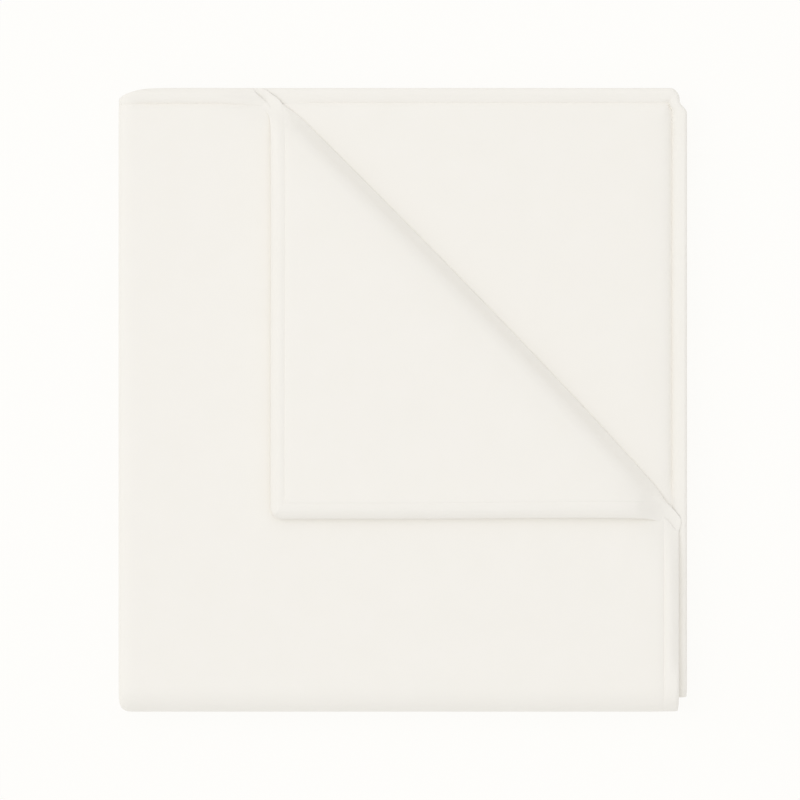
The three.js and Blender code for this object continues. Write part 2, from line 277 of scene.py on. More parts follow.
    def crease_coordinates(self, x: Array, y: Array) -> tuple[Array, Array]:
        """Measures level points from the crease.

        A point is the crease's start, plus fraction times the crease's run, plus reach times the
        turn direction, which two cross products solve.

        Args:
            x: level positions.
            y: level positions.

        Returns:
            The fraction of the way down the crease and the reach beyond it.
        """
        run, turn = self.crease_run, self.turn_direction
        off_x, off_y = x - self.crease_start[0], y - self.crease_start[1]
        scale = run[0] * turn[1] - run[1] * turn[0]
        fraction = (off_x * turn[1] - off_y * turn[0]) / scale
        reach = (run[0] * off_y - run[1] * off_x) / scale
        return fraction, reach

    def crease_outside(self, fraction: Array) -> Array:
        """Gives the reach of the roll's outline, which bows out from the crease's straight line.

        The bow is a parabola on each side of its highest place: bow * (1 - (distance / side)^2).

        Args:
            fraction: fractions of the way down the crease.

        Returns:
            Distances along the turn direction.
        """
        side = np.where(
            fraction < self.crease_bow_place, self.crease_bow_place, self.crease_bow_end_reach
        )
        fall = np.clip((fraction - self.crease_bow_place) / side, -1, 1)
        return self.crease_bow * (1 - fall**2)

    def from_crease_end(self, x: Array, y: Array) -> Array:
        """Gives the level distance from the nearer end of the crease."""
        start, end = self.crease_start, self.crease_start + self.crease_run
        return np.minimum(np.hypot(x - start[0], y - start[1]), np.hypot(x - end[0], y - end[1]))

    def crease_middle(self, fraction: Array, end_share: float) -> Array:
        """Gives 1 along the crease and 0 at both of its ends, with a smooth step of end share."""
        return smooth_step(fraction, 0, end_share) * smooth_step(1 - fraction, 0, end_share)

    def toe(self, fraction: Array, height: Array) -> Array:
        """Gives how far the roll is slid out, most at its foot.

        It is toe * (1 - height / full height)^power, and nothing at both ends of the crease.

        Args:
            fraction: fractions of the way down the crease.
            height: heights over the second layer.

        Returns:
            Distances along the turn direction.
        """
        low = np.clip(1 - height / (2 * self.roll_radius), 0, 1)
        middle = self.crease_middle(fraction, self.toe_end_share)
        return self.crease_toe * middle * low**self.toe_power

    @property
    def roll_radius(self) -> float:
        """Radius of the roll's outside where nothing presses or spreads it."""
        return self.fold_radius + self.thickness / 2

    @property
    def nose(self) -> float:
        """How far the spread roll stands out from where it starts, midway down the crease.

        It is the greatest of radius * sin(angle) + toe, taken degree by degree round the roll.
        """
        angle = np.radians(np.arange(181))
        height = self.roll_radius * (1 - np.cos(angle))
        return float(np.max(self.roll_radius * np.sin(angle) + self.toe(np.array(0.5), height)))

    def roll_start(self, fraction: Array) -> Array:
        """Gives the reach at which the cloth starts to roll over, so that its outline stands right."""
        spread = (self.nose - self.roll_radius) * self.crease_middle(fraction, self.toe_end_share)
        return self.crease_outside(fraction) - self.roll_radius - spread

    def crease_slack(self, fraction: Array) -> Array:
        """Gives how far past a straight fold's mirror image the cloth leaves the roll."""
        middle = self.crease_middle(fraction, self.slack_end_share)
        return 2 * self.crease_outside(fraction) * middle

    def roll_length(self, fraction: Array) -> Array:
        """Gives the cloth's length round the roll of the turned-back corner."""
        return self.crease_slack(fraction) - 2 * self.roll_start(fraction)

    def turned_share(self, across: Array, along: Array) -> Array:
        """Gives how far round the roll flat points are: 0 before it, 1 past it.

        Args:
            across: flat positions.
            along: flat positions.

        Returns:
            Shares of the half turn.
        """
        fraction, reach = self.crease_coordinates(self.x_of(across), self.y_of(along))
        gone = (reach - self.roll_start(fraction)) / self.roll_length(fraction)
        return np.where(self.on_top_layer(across, along), np.clip(gone, 0, 1), 0)

    def on_top_layer(self, across: Array, along: Array) -> Array:
        """Tells which flat points lie on the top layer, past both folds."""
        return (across > self.left_half_arc) & (along > self.bottom_half_arc)

    def crown_at(self, x: Array, y: Array) -> Array:
        """Gives the low dome of the stack: crown * (1 - (x/side)^2) * (1 - (y/end)^2), from 0.

        Args:
            x: level positions.
            y: level positions.

        Returns:
            Heights in metres.
        """
        across_fall = np.maximum(0, 1 - (x / self.left_fold_x) ** 2)
        along_fall = np.maximum(0, 1 - (y / self.top_edge_y) ** 2)
        return self.crown * across_fall * along_fall

    def sagged(self, across: Array, along: Array) -> Array:
        """Lets the top layer's top seam hang back a little, and more towards the crease.

        The sag rises in two smooth steps, ends just past the crease, and falls away exponentially
        with the distance from the edge. Most of the outermost edge keeps its place.

        Args:
            across: flat positions.
            along: flat positions.

        Returns:
            The positions along the cloth with the sag taken off.
        """
        x = self.x_of(across)
        low = smooth_step(x, self.left_fold_x, self.sag_start_x)
        high = smooth_step(x, self.sag_growth_x, self.crease_top_x - self.sag_end_width / 2)
        past = smooth_step(x, self.crease_top_x, self.crease_top_x + self.sag_end_width)
        sag = (self.top_sag * low + self.top_sag_growth * high) * (1 - past)
        gap = self.end_edge - along
        held = 1 - self.sag_edge_hold * np.exp(-gap / self.sag_edge_width)
        sag = sag * held * np.exp(-gap / self.sag_depth)
        return along - np.where(self.on_top_layer(across, along), sag, 0)

    def pressed(self, points: Array, is_top: Array) -> Array:
        """Presses the top layer and the turned-back corner flatter along the crease.

        Close to both ends of the crease, what stands over the top layer's face sinks onto it, with
        a smooth step. Then heights over the second layer shrink by a share that is greatest at the
        roll's outside, more so at both of its ends, and falls away as exp(-(distance / width)^2).

        Args:
            points: folded places, with a last axis of three.
            is_top: which of them belong to the top layer.

        Returns:
            The pressed places.
        """
        x, y, z = np.moveaxis(points, -1, 0)
        near_edge = self.near_edge(np.minimum(self.top_edge_y - y, self.top_layer_right_x - x))
        top_rise = self.pitch + self.crown_at(x, y) - self.edge_drop * near_edge
        top_face = self.second_layer_top + top_rise * (1 - self.edge_press * near_edge)
        from_end = self.from_crease_end(x, y)
        near_end = 1 - smooth_step(from_end, self.end_merge_full, self.end_merge_reach)
        z = z - np.maximum(0, z - top_face) * near_end * is_top
        fraction, reach = self.crease_coordinates(x, y)
        inside = np.maximum(0, self.crease_outside(fraction) - reach)
        ends = np.exp(-((fraction / self.press_end_share) ** 2))
        ends = ends + np.exp(-(((1 - fraction) / self.press_end_share) ** 2))
        share = self.crease_press + self.crease_end_press * ends
        share = share * np.exp(-((inside / self.press_width) ** 2)) * is_top
        z = z - np.maximum(0, z - self.second_layer_top) * share
        return np.stack([x, y, z], axis=-1)

    def near_edge(self, gap: Array) -> Array:
        """Gives exp(-(distance / width)^2) for distances from a free edge."""
        return np.exp(-((np.maximum(0, gap) / self.edge_press_width) ** 2))

    def edge_pressed(self, points: Array, across: Array, along: Array) -> Array:
        """Lets the top layer lie thinner towards its free edges, close on the layer that bears it.

        The layer drops a little and heights over the bearing layer shrink by a share. Both fall away
        from the edge, and start with a smooth step past the folds.

        Args:
            points: folded places, with a last axis of three.
            across: their flat positions.
            along: their flat positions.

        Returns:
            The pressed places.
        """
        gap = np.minimum(self.top_layer_edge - across, self.end_edge - along)
        start = smooth_step(across - self.left_half_arc, 0, self.edge_press_start)
        start = start * smooth_step(along - self.bottom_half_arc, 0, self.edge_press_start)
        near = start * self.near_edge(gap)
        base = self.second_layer_top + self.pitch * self.turned_share(across, along)
        x, y, z = np.moveaxis(points, -1, 0)
        z = z - self.edge_drop * near
        z = z - np.maximum(0, z - base) * self.edge_press * near
        return np.stack([x, y, z], axis=-1)

    def seam_depth(self, across: Array, along: Array, side: Face) -> Array:
        """Gives how deep the seam along the nearest edge sinks into the cloth's face.

        Every seam fades with a smooth step to a small share of its depth at the folds, and passes
        over into the next edge's depth at a corner. The second layer's seams are deep only where
        they show, past the crease, and its side seam sinks further away from the crease's end.

        Args:
            across: flat positions.
            along: flat positions.
            side: the face.

        Returns:
            Depths in metres.
        """
        fade = smooth_step(np.minimum(np.abs(across), np.abs(along)), 0, self.fold_seam_fade)
        fade = self.fold_seam_share + (1 - self.fold_seam_share) * fade
        if side is Face.OUTER:
            to_top, to_side = self.end_edge - along, self.top_layer_edge - across
            at_top = smooth_step(to_side - to_top, -self.corner_change, self.corner_change)
            rise = self.top_seam_depth - self.outer_seam_depth
            return fade * (self.outer_seam_depth + rise * at_top)
        to_second_side = self.second_layer_edge + across
        nearer_end = to_second_side - (self.end_edge - np.abs(along))
        at_second_side = 1 - smooth_step(nearer_end, -self.corner_change, self.corner_change)
        above_crease = along - self.along_of(self.crease_right_y)
        deep = smooth_step(above_crease, 0, self.second_side_fade)
        side_depth = self.second_side_least_depth * (1 - deep) + self.second_side_seam_depth * deep
        past_crease = -across - self.across_of(self.crease_top_x)
        shown = smooth_step(past_crease, self.second_seam_start, self.second_seam_rise)
        nearer_side = (self.end_edge - along) - (self.top_layer_edge - across)
        at_bottom = smooth_step(nearer_side, -self.corner_change, self.corner_change)
        flap_depth = self.flap_seam_depth * (1 - at_bottom) + self.flap_bottom_seam_depth * at_bottom
        at_flap = smooth_step(across, -self.corner_change, self.corner_change)
        depth = self.second_seam_depth * shown * (1 - at_flap) + flap_depth * at_flap
        return fade * (depth + (side_depth - depth) * at_second_side)

    def drawn_in(self, across: Array, along: Array) -> tuple[Array, Array]:
        """Pulls the flat cloth in along its edges at the left fold and at the second layer's corner.

        The pull at the fold falls away exponentially on both sides of the fold, and as a square with
        the distance from the edge. The pull at the corner is full close to the top edge, ends with
        a smooth step down the side edge, and falls away inwards as exp(-(distance / width)^2).

        Args:
            across: flat positions.
            along: flat positions.

        Returns:
            The pulled-in positions.
        """
        end_gap = self.end_edge - np.abs(along)
        from_fold = np.hypot(across, self.fold_draw_rounding) - self.fold_draw_rounding
        near_end = np.clip(1 - end_gap / self.fold_draw_depth, 0, 1) ** 2
        pull = self.fold_draw * np.exp(-from_fold / self.fold_draw_width) * near_end
        share = 1 - smooth_step(end_gap, self.corner_draw_full, self.corner_draw_start)
        side_gap = self.second_layer_edge + across
        corner = self.corner_draw * share * np.exp(-((side_gap / self.corner_draw_width) ** 2))
        return across + corner, along - np.sign(along) * pull

    def layered(self, across: Array, along: Array, proud: Array) -> Array:
        """Carries flat points round the left fold and then round the bottom fold.

        The left fold turns a point through half of a superellipse, |x|^n + |z|^n = r^n, of the fold
        radius plus its proud height, and the bottom fold then turns that section through a half
        circle of its own height.

        Args:
            across: flat positions.
            along: flat positions.
            proud: heights over the middle of the thickness.

        Returns:
            Points as an array with a last axis of three.
        """
        left_angle = np.clip(across / self.left_half_arc, -1, 1) * np.pi / 2
        past_left = np.maximum(0, np.abs(across) - self.left_half_arc)
        power = 2 / self.fold_fullness
        x = self.left_centre_x + past_left - (self.fold_radius + proud) * np.cos(left_angle) ** power
        swing = np.sign(left_angle) * np.abs(np.sin(left_angle)) ** power
        height = self.pitch + (self.fold_radius + proud) * swing
        bottom_angle = np.clip(along / self.bottom_half_arc, -1, 1) * np.pi / 2
        past_bottom = np.maximum(0, np.abs(along) - self.bottom_half_arc)
        y = self.bottom_centre_y + past_bottom - height * np.cos(bottom_angle)
        z = self.bottom_centre_z + height * np.sin(bottom_angle)
        lift = np.where(self.on_top_layer(across, along), self.crown_at(x, y), 0)
        return np.stack([x, y, z + lift], axis=-1)

    def turned(self, across: Array, along: Array, proud: Array) -> Array:
        """Carries flat points of the top layer over the crease.

        A point rolls through a half circle of the fold radius less its proud height, and then runs
        back over the layer, settling to the place that a straight fold would give it. The roll's
        foot slides out and sinks a little into the layer below.

        Args:
            across: flat positions.
            along: flat positions.
            proud: heights over the middle of the thickness.

        Returns:
            Points as an array with a last axis of three.
        """
        x, y = self.x_of(across), self.y_of(along)
        fraction, reach = self.crease_coordinates(x, y)
        start, length = self.roll_start(fraction), self.roll_length(fraction)
        angle = np.pi * np.clip((reach - start) / length, 0, 1)
        past = np.maximum(0, reach - start - length)
        settled = self.crease_slack(fraction) * (1 - np.exp(-past / self.crease_settle))
        radius = self.fold_radius - proud
        rise = self.fold_radius - radius * np.cos(angle)
        slide = self.toe(fraction, rise + self.thickness / 2 + self.crown_at(x, y))
        level = start + radius * np.sin(angle) + slide - past - settled
        x = x + (level - reach) * self.turn_direction[0]
        y = y + (level - reach) * self.turn_direction[1]
        z = self.bottom_centre_z + self.top_layer_height + rise + self.crown_at(x, y)
        return np.stack([x, y, z - self.toe_sink * slide / self.crease_toe], axis=-1)

    def flared(self, points: Array, across: Array, along: Array) -> Array:
        """Spreads the turned-back corner's two edges where they run into the crease's ends.

        Each edge leans out by flare * exp(-(distance beyond start) / width), measured from the end
        of the crease, while its seam stays in place. There it also sinks a trace into the layer
        below, so that their faces don't lie in one plane.

        Args:
            points: folded places, with a last axis of three.
            across: their flat positions.
            along: their flat positions.

        Returns:
            The spread places.
        """
        x, y, z = np.moveaxis(points, -1, 0)
        beyond = np.maximum(0, self.from_crease_end(x, y) - self.flare_start)
        near_end = np.exp(-beyond / self.flare_width) * self.turned_share(across, along)
        at_top = near_end * (1 - smooth_step(self.end_edge - along, 0, self.seam_inset))
        at_side = near_end * (1 - smooth_step(self.top_layer_edge - across, 0, self.seam_inset))
        sink = self.end_sink * np.maximum(at_top, at_side)
        return np.stack([x - self.top_flare * at_top, y - self.side_flare * at_side, z - sink], axis=-1)

    def slid(self, points: Array, proud: Array) -> Array:
        """Slides the top layer out and down under the roll, to meet the roll's foot.

        The slide falls away behind the roll as exp(-(distance / fade)^2).

        Args:
            points: folded places before the roll, with a last axis of three.
            proud: heights over the middle of the thickness.

        Returns:
            The slid places.
        """
        x, y, z = np.moveaxis(points, -1, 0)
        fraction, reach = self.crease_coordinates(x, y)
        behind = np.maximum(0, self.roll_start(fraction) - reach)
        slide = self.toe(fraction, proud + self.thickness / 2 + self.crown_at(x, y))
        slide = slide * np.exp(-((behind / self.toe_fade) ** 2))
        x, y = x + slide * self.turn_direction[0], y + slide * self.turn_direction[1]
        return np.stack([x, y, z - self.toe_sink * slide / self.crease_toe], axis=-1)

    def place(self, across: Array, along: Array, proud: Array) -> Array:
        """Carries flat points to their folded places, over the turned-back corner too.

        Args:
            across: flat positions.
            along: flat positions.
            proud: heights over the middle of the thickness.

        Returns:
            Points as an array with a last axis of three.
        """
        across, along = self.drawn_in(across, self.sagged(across, along))
        is_top = self.on_top_layer(across, along)
        is_turned = self.turned_share(across, along) > 0
        layered = self.layered(across, along, proud)
        under = np.where(is_top[..., None], self.slid(layered, proud), layered)
        points = np.where(is_turned[..., None], self.turned(across, along, proud), under)
        points = self.edge_pressed(points, across, along)
        return self.flared(self.pressed(points, is_top), across, along)


def mesh_object(name: str, points: Array, triangles: Array, cloth_uv: Array) -> bpy.types.Object:
    """Makes a smooth mesh object in the scene.

    Args:
        name: the piece's name.
        points: corner points, one row each.
        triangles: three corner numbers a row, anticlockwise from outside.
        cloth_uv: each corner's place on the flat cloth, in metres.

    Returns:
        The new object, at the origin.
    """
    mesh = bpy.data.meshes.new(name)
    mesh.vertices.add(len(points))
    mesh.vertices.foreach_set("co", points.astype(np.float32).ravel())
    mesh.loops.add(triangles.size)
    mesh.loops.foreach_set("vertex_index", triangles.astype(np.int32).ravel())
    mesh.polygons.add(len(triangles))
    mesh.polygons.foreach_set("loop_start", np.arange(0, triangles.size, 3, dtype=np.int32))
    mesh.polygons.foreach_set("use_smooth", np.ones(len(triangles), bool))
    uv_layer = mesh.uv_layers.new(name="flat_cloth")
    uv_layer.data.foreach_set("uv", cloth_uv[triangles.ravel()].astype(np.float32).ravel())
    mesh.update(calc_edges=True)
    mesh.validate()
    piece = bpy.data.objects.new(name, mesh)
    bpy.context.scene.collection.objects.link(piece)
    return piece


def add_node(
    owner: bpy.types.Material | bpy.types.World, kind: str, settings: dict, links: dict
) -> bpy.types.Node:
    """Adds one shader node.

    Args:
        owner: the material or surround that gets the node.
        kind: the node's type name.
        settings: values by attribute name, or by input number or name where there is such an input.
        links: output sockets by the input number or name that each one feeds.

    Returns:
        The new node.
    """
    node = owner.node_tree.nodes.new(kind)
    for key, value in settings.items():
        if isinstance(key, str) and hasattr(node, key):
            setattr(node, key, value)
        else:
            node.inputs[key].default_value = value
    for key, socket in links.items():
        owner.node_tree.links.new(socket, node.inputs[key])
    return node


@dataclass(frozen=True)
class CottonSateen:
    """Close-woven ivory cotton sateen, washed once.

    To the eye it is almost matt, with a soft bloom at grazing angles from its loose fibres, a weave
    too fine to see from standing height, and the slightest unevenness of tone.
    """

    name: str
    colour: str
    shaded_colour: str
    roughness: float = 0.82
    sheen: float = 0.08
    thread_spacing: float = 0.45 * MM
    weave_height: float = 0.05 * MM
    slub_size: float = 28 * MM

    def build(self) -> bpy.types.Material:
        """Builds the material.

        The threads are drawn at 0.45 mm, about twice their real spacing, because the real ones are
        too fine to show in a render at any distance. A wave texture has a band every pi / 10 units
        at a scale of 1, which the scale makes one thread.

        Returns:
            The finished material.
        """
        material = bpy.data.materials.new(self.name)
        material.use_nodes = True
        material.node_tree.nodes.clear()
        place = add_node(material, "ShaderNodeUVMap", {"uv_map": "flat_cloth"}, {})
        tone = add_node(
            material,
            "ShaderNodeTexNoise",
            {"Scale": 1 / self.slub_size, "Detail": 3.0, "Roughness": 0.5},
            {"Vector": place.outputs["UV"]},
        )
        blend = add_node(
            material,
            "ShaderNodeMix",
            {"data_type": "RGBA", 6: linear_rgb(self.shaded_colour), 7: linear_rgb(self.colour)},
            {0: tone.outputs["Fac"]},
        )
        wave = {"Scale": np.pi / (10 * self.thread_spacing), "Distortion": 0.6, "Detail": 1.0}
        threads = [
            add_node(
                material,
                "ShaderNodeTexWave",
                {"bands_direction": direction, **wave},
                {"Vector": place.outputs["UV"]},
            )
            for direction in ("X", "Y")
        ]
        weave = add_node(
            material,
            "ShaderNodeMath",
            {"operation": "MULTIPLY"},
            {0: threads[0].outputs["Fac"], 1: threads[1].outputs["Fac"]},
        )
        bump = add_node(
            material,
            "ShaderNodeBump",
            {"Strength": 0.5, "Distance": self.weave_height},
            {"Height": weave.outputs[0]},
        )
        cloth = add_node(
            material,
            "ShaderNodeBsdfPrincipled",
            {
                "Roughness": self.roughness,
                "IOR": 1.5,
                "Specular IOR Level": 0.3,
                "Sheen Weight": self.sheen,
                "Sheen Roughness": 0.5,
            },
            {"Base Color": blend.outputs[2], "Normal": bump.outputs["Normal"]},
        )
        add_node(material, "ShaderNodeOutputMaterial", {}, {"Surface": cloth.outputs["BSDF"]})
        return material


@dataclass
class ComforterBody:
    """The filled body: two cloths with thin batting, drawn in at the seams, folded as one sheet."""

    cloth: FoldedCloth
    finish: CottonSateen
    rim_inset: float = 9.5 * MM
    rim_fall: float = 0.8
    near_reach: float = 2.5 * MM
    far_reach: float = 9.0 * MM
    near_share: float = 0.72
    close_width: float = 14 * MM
    close_step: float = 1.5 * MM
    bottom_step: float = 2.25 * MM
    crease_step: float = 2.3 * MM
    hidden_step: float = 3 * MM
    open_step: float = 12 * MM
    open_hidden_step: float = 24 * MM

    def grid(self) -> tuple[Array, Array]:
        """Chooses the grid lines of the flat cloth.

        Over the turned-back corner both sets of lines share one list of shares of the corner's
        width and height, so that the grid's diagonals run along the crease.

        Returns:
            The lines across and the lines along.
        """
        cloth = self.cloth
        corner_x, corner_y = cloth.across_of(cloth.crease_top_x), cloth.along_of(cloth.crease_right_y)
        width, height = cloth.top_layer_edge - corner_x, cloth.end_edge - corner_y
        side_share, top_share = 1 - self.rim_inset / width, self.rim_inset / height
        close = 2 * self.close_width / width
        shares = joined_lines(
            spaced(0, top_share, self.close_step / width),
            spaced(top_share, close, self.close_step / width),
            spaced(close, 1 - close, self.crease_step / width),
            spaced(1 - close, side_share, self.close_step / width),
            spaced(side_share, 1, self.close_step / width),
        )
        second_rim = cloth.second_layer_edge - self.rim_inset
        past_fold = 4 * cloth.left_half_arc
        across = joined_lines(
            spaced(-second_rim, -second_rim + self.close_width, self.close_step),
            spaced(-second_rim + self.close_width, -cloth.left_half_arc, self.open_step),
            spaced(-cloth.left_half_arc, cloth.left_half_arc, self.close_step),
            spaced(cloth.left_half_arc, past_fold, self.hidden_step),
            spaced(past_fold, corner_x, self.open_step),
            corner_x + width * shares[shares < side_share + ROUNDING],
        )
        end_rim = cloth.end_edge - self.rim_inset
        along = joined_lines(
            spaced(-end_rim, -end_rim + self.close_width, self.hidden_step),
            spaced(-end_rim + self.close_width, -cloth.bottom_half_arc, self.open_hidden_step),
            spaced(-cloth.bottom_half_arc, cloth.bottom_half_arc, self.bottom_step),
            spaced(cloth.bottom_half_arc, corner_y, self.open_step),
            cloth.end_edge - height * shares[shares > top_share - ROUNDING],
        )
        return across, along

    def half_thickness(self, across: Array, along: Array, side: Face) -> Array:
        """Gives the thickness on one side of the body's middle.

        It is full inside and lower at a seam by depth * (near share * exp(-distance / near reach) +
        far share * exp(-distance / far reach)), so that the cloth rises steeply and then slowly. The
        near reach grows with the fourth root of the depth in millimetres.

        Args:
            across: flat positions.
            along: flat positions.
            side: the face.

        Returns:
            Heights in metres.
        """
        cloth = self.cloth
        from_seam = np.minimum.reduce(
            [
                cloth.top_layer_edge - cloth.seam_inset - across,
                cloth.second_layer_edge - cloth.seam_inset + across,
                cloth.end_edge - cloth.seam_inset - np.abs(along),
            ]
        )
        past_rim = np.minimum(0, from_seam)
        from_seam = np.maximum(0, from_seam)
        depth = cloth.seam_depth(across, along, side)
        near = self.near_share * np.exp(-from_seam / (self.near_reach * (depth / MM) ** 0.25))
        far = (1 - self.near_share) * np.exp(-from_seam / self.far_reach)
        sunk = depth * (near + far) - self.rim_fall * past_rim
        return cloth.thickness / 2 - sunk

    def face_height(self, across: Array, along: Array, side: Face) -> Array:
        """Gives one face's height over the middle of the cloth, filled out under the dome.

        Args:
            across: flat positions.
            along: flat positions.
            side: the face.

        Returns:
            Heights in metres, negative on the inner face.
        """
        cloth = self.cloth
        half = self.half_thickness(across, along, side)
        if side is Face.OUTER:
            return half
        under = 1 - smooth_step(cloth.turned_share(across, along), 0, 1)
        crown = cloth.crown_at(cloth.x_of(across), cloth.y_of(along))
        dome = np.where(cloth.on_top_layer(across, along), crown, 0)
        return -half - dome * under

    def build(self) -> bpy.types.Object:
        """Builds the body as one closed mesh: its outer face, its inner face and the rim.

        Returns:
            The dressed piece.
        """
        lines_across, lines_along = self.grid()
        across, along = np.meshgrid(lines_across, lines_along)
        points, places = [], []
        for side in Face:
            height = self.face_height(across, along, side)
            points.append(self.cloth.place(across, along, height).reshape(-1, 3))
            places.append(np.stack([across, along], axis=-1).reshape(-1, 2))
        rows, columns = across.shape
        number = np.arange(rows * columns).reshape(rows, columns)
        a, b = number[:-1, :-1].ravel(), number[:-1, 1:].ravel()
        c, d = number[1:, 1:].ravel(), number[1:, :-1].ravel()
        outer = np.concatenate([np.stack([a, b, d], 1), np.stack([b, c, d], 1)])
        inner = outer[:, ::-1] + rows * columns
        rim = np.concatenate([number[0, :-1], number[:-1, -1], number[-1, :0:-1], number[:0:-1, 0]])
        after = np.roll(rim, -1)
        under, under_after = rim + rows * columns, after + rows * columns
        wall = np.concatenate(
            [np.stack([rim, under, under_after], 1), np.stack([rim, under_after, after], 1)]
        )
        triangles = np.concatenate([outer, inner, wall])
        piece = mesh_object("comforter_body", np.concatenate(points), triangles, np.concatenate(places))
        piece.data.materials.append(self.finish.build())
        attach(piece, "root")
        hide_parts("comforter")
        LOG.info("%s: %d triangles", piece.name, len(triangles))
        return piece


@dataclass
class RolledBinding:
    """The strip of the same cloth that is wrapped round the free edges and sewn down."""

    cloth: FoldedCloth
    finish: CottonSateen
    hidden_width: float = 1.6 * MM
    thickness: float = 10.4 * MM
    dip_reach: float = 2.2 * MM
    edge_radius: float = 4.6 * MM
    fullness: float = 3.0
    under_fullness: float = 7.0
    corner_radius: float = 9.5 * MM
    inner_corner_radius: float = 0.5 * MM
    close_step: float = 2.0 * MM
    corner_steps: int = 14
    flat_steps: int = 13
    edge_steps: int = 8

    def stations(self) -> Array:
        """Chooses the stations round the flat cloth, anticlockwise on its outer face.

        Each is a point of the rectangle that the round corners are centred on, and the angle that
        the edge faces there.

        Returns:
            Rows of across, along and facing angle.
        """
        cloth, radius = self.cloth, self.corner_radius
        left, right = -(cloth.second_layer_edge - radius), cloth.top_layer_edge - radius
        end = cloth.end_edge - radius
        side_lines = spaced(-end, end, self.close_step)
        end_lines = spaced(left, right, self.close_step)
        return np.concatenate(
            [
                self.side_stations(right, side_lines, 0),
                self.side_stations(end_lines[::-1], end, np.pi / 2),
                self.side_stations(left, side_lines[::-1], np.pi),
                self.side_stations(end_lines, -end, 1.5 * np.pi),
            ]
        )

    def side_stations(self, across: Array | float, along: Array | float, facing: float) -> Array:
        """Lists the stations along one side, and round the corner that follows it.

        Args:
            across: flat positions of the side, or one for all.
            along: flat positions of the side, or one for all.
            facing: the angle that the side's edge faces.

        Returns:
            Rows of across, along and facing angle.
        """
        run = np.stack(np.broadcast_arrays(across, along, facing), axis=-1).astype(float)
        turn = np.repeat(run[-1:], self.corner_steps - 1, axis=0)
        turn[:, 2] += np.arange(1, self.corner_steps) * np.pi / 2 / self.corner_steps
        return np.concatenate([run, turn])

    def ring(self, stations: Array, gap: Array) -> tuple[Array, Array]:
        """Sets the section at every station, with its inner part mitred at the corners.

        A point stands off the stations' rectangle by outward = corner radius - gap. Where that is
        small or negative, the radius eases to (outward + hypot(outward, 2 * inner radius)) / 2 and
        the rectangle shrinks by what is missing, so that the rounded corner turns into a mitre.

        Args:
            stations: rows of across, along and facing angle.
            gap: the section's distances from the outer edge, a row for each station.

        Returns:
            Flat positions, a row for each station.
        """
        outward = self.corner_radius - gap
        radius = (outward + np.hypot(outward, 2 * self.inner_corner_radius)) / 2
        middle = (np.min(stations, axis=0) + np.max(stations, axis=0))[:2] / 2
        half = (np.max(stations, axis=0) - np.min(stations, axis=0))[:2] / 2
        facing = stations[:, 2:3]
        flat = []
        for axis, swing in ((0, np.cos(facing)), (1, np.sin(facing))):
            share = 1 - (radius - outward) / half[axis]
            centre = middle[axis] + (stations[:, axis : axis + 1] - middle[axis]) * share
            flat.append(centre + radius * swing)
        return flat[0], flat[1]

    def half_section(self, fullness: float) -> tuple[Array, Array]:
        """Gives one half of the rounded section of the strip, from its inner end to its outer edge.

        The outer edge is a quarter of a superellipse, |x|^n + |z|^n = 1, and a short margin beyond
        the seam is sewn inside the body.

        Args:
            fullness: the superellipse's n.

        Returns:
            Distances from the outer edge and heights over the middle.
        """
        turn = np.linspace(np.pi / 2, 0, self.edge_steps + 1)
        edge_gap = self.edge_radius * (1 - np.cos(turn) ** (2 / fullness))
        edge_height = self.thickness / 2 * np.sin(turn) ** (2 / fullness)
        inner_end = self.cloth.seam_inset + self.hidden_width
        flat_gap = np.linspace(inner_end, self.edge_radius, self.flat_steps + 1)[:-1]
        height = np.concatenate([np.full(self.flat_steps, self.thickness / 2), edge_height])
        return np.concatenate([flat_gap, edge_gap]), height

    def half_ring(self, stations: Array, lies_under: Array, side: Face) -> tuple[Array, Array, Array]:
        """Sets one half of the section at every station.

        The face sinks towards the seam by depth * exp(-distance / reach), where the reach grows with
        the fourth root of the depth in millimetres, and by as much again in the hidden margin.

        Args:
            stations: rows of across, along and facing angle.
            lies_under: 0 where this half of the section is open to view and 1 where it lies under,
                a row for each station.
            side: the face.

        Returns:
            Flat positions across and along, and heights over the middle.
        """
        open_gap, open_height = self.half_section(self.fullness)
        under_gap, under_height = self.half_section(self.under_fullness)
        gap = open_gap + (under_gap - open_gap) * lies_under
        height = open_height + (under_height - open_height) * lies_under
        across, along = self.ring(stations, gap)
        depth = self.cloth.seam_depth(across, along, side)
        from_seam = np.maximum(0, self.cloth.seam_inset - gap)
        hidden = np.clip((gap - self.cloth.seam_inset) / self.hidden_width, 0, 1)
        sunk = np.exp(-from_seam / (self.dip_reach * (depth / MM) ** 0.25)) + hidden
        return across, along, side.value * (height - depth * sunk)

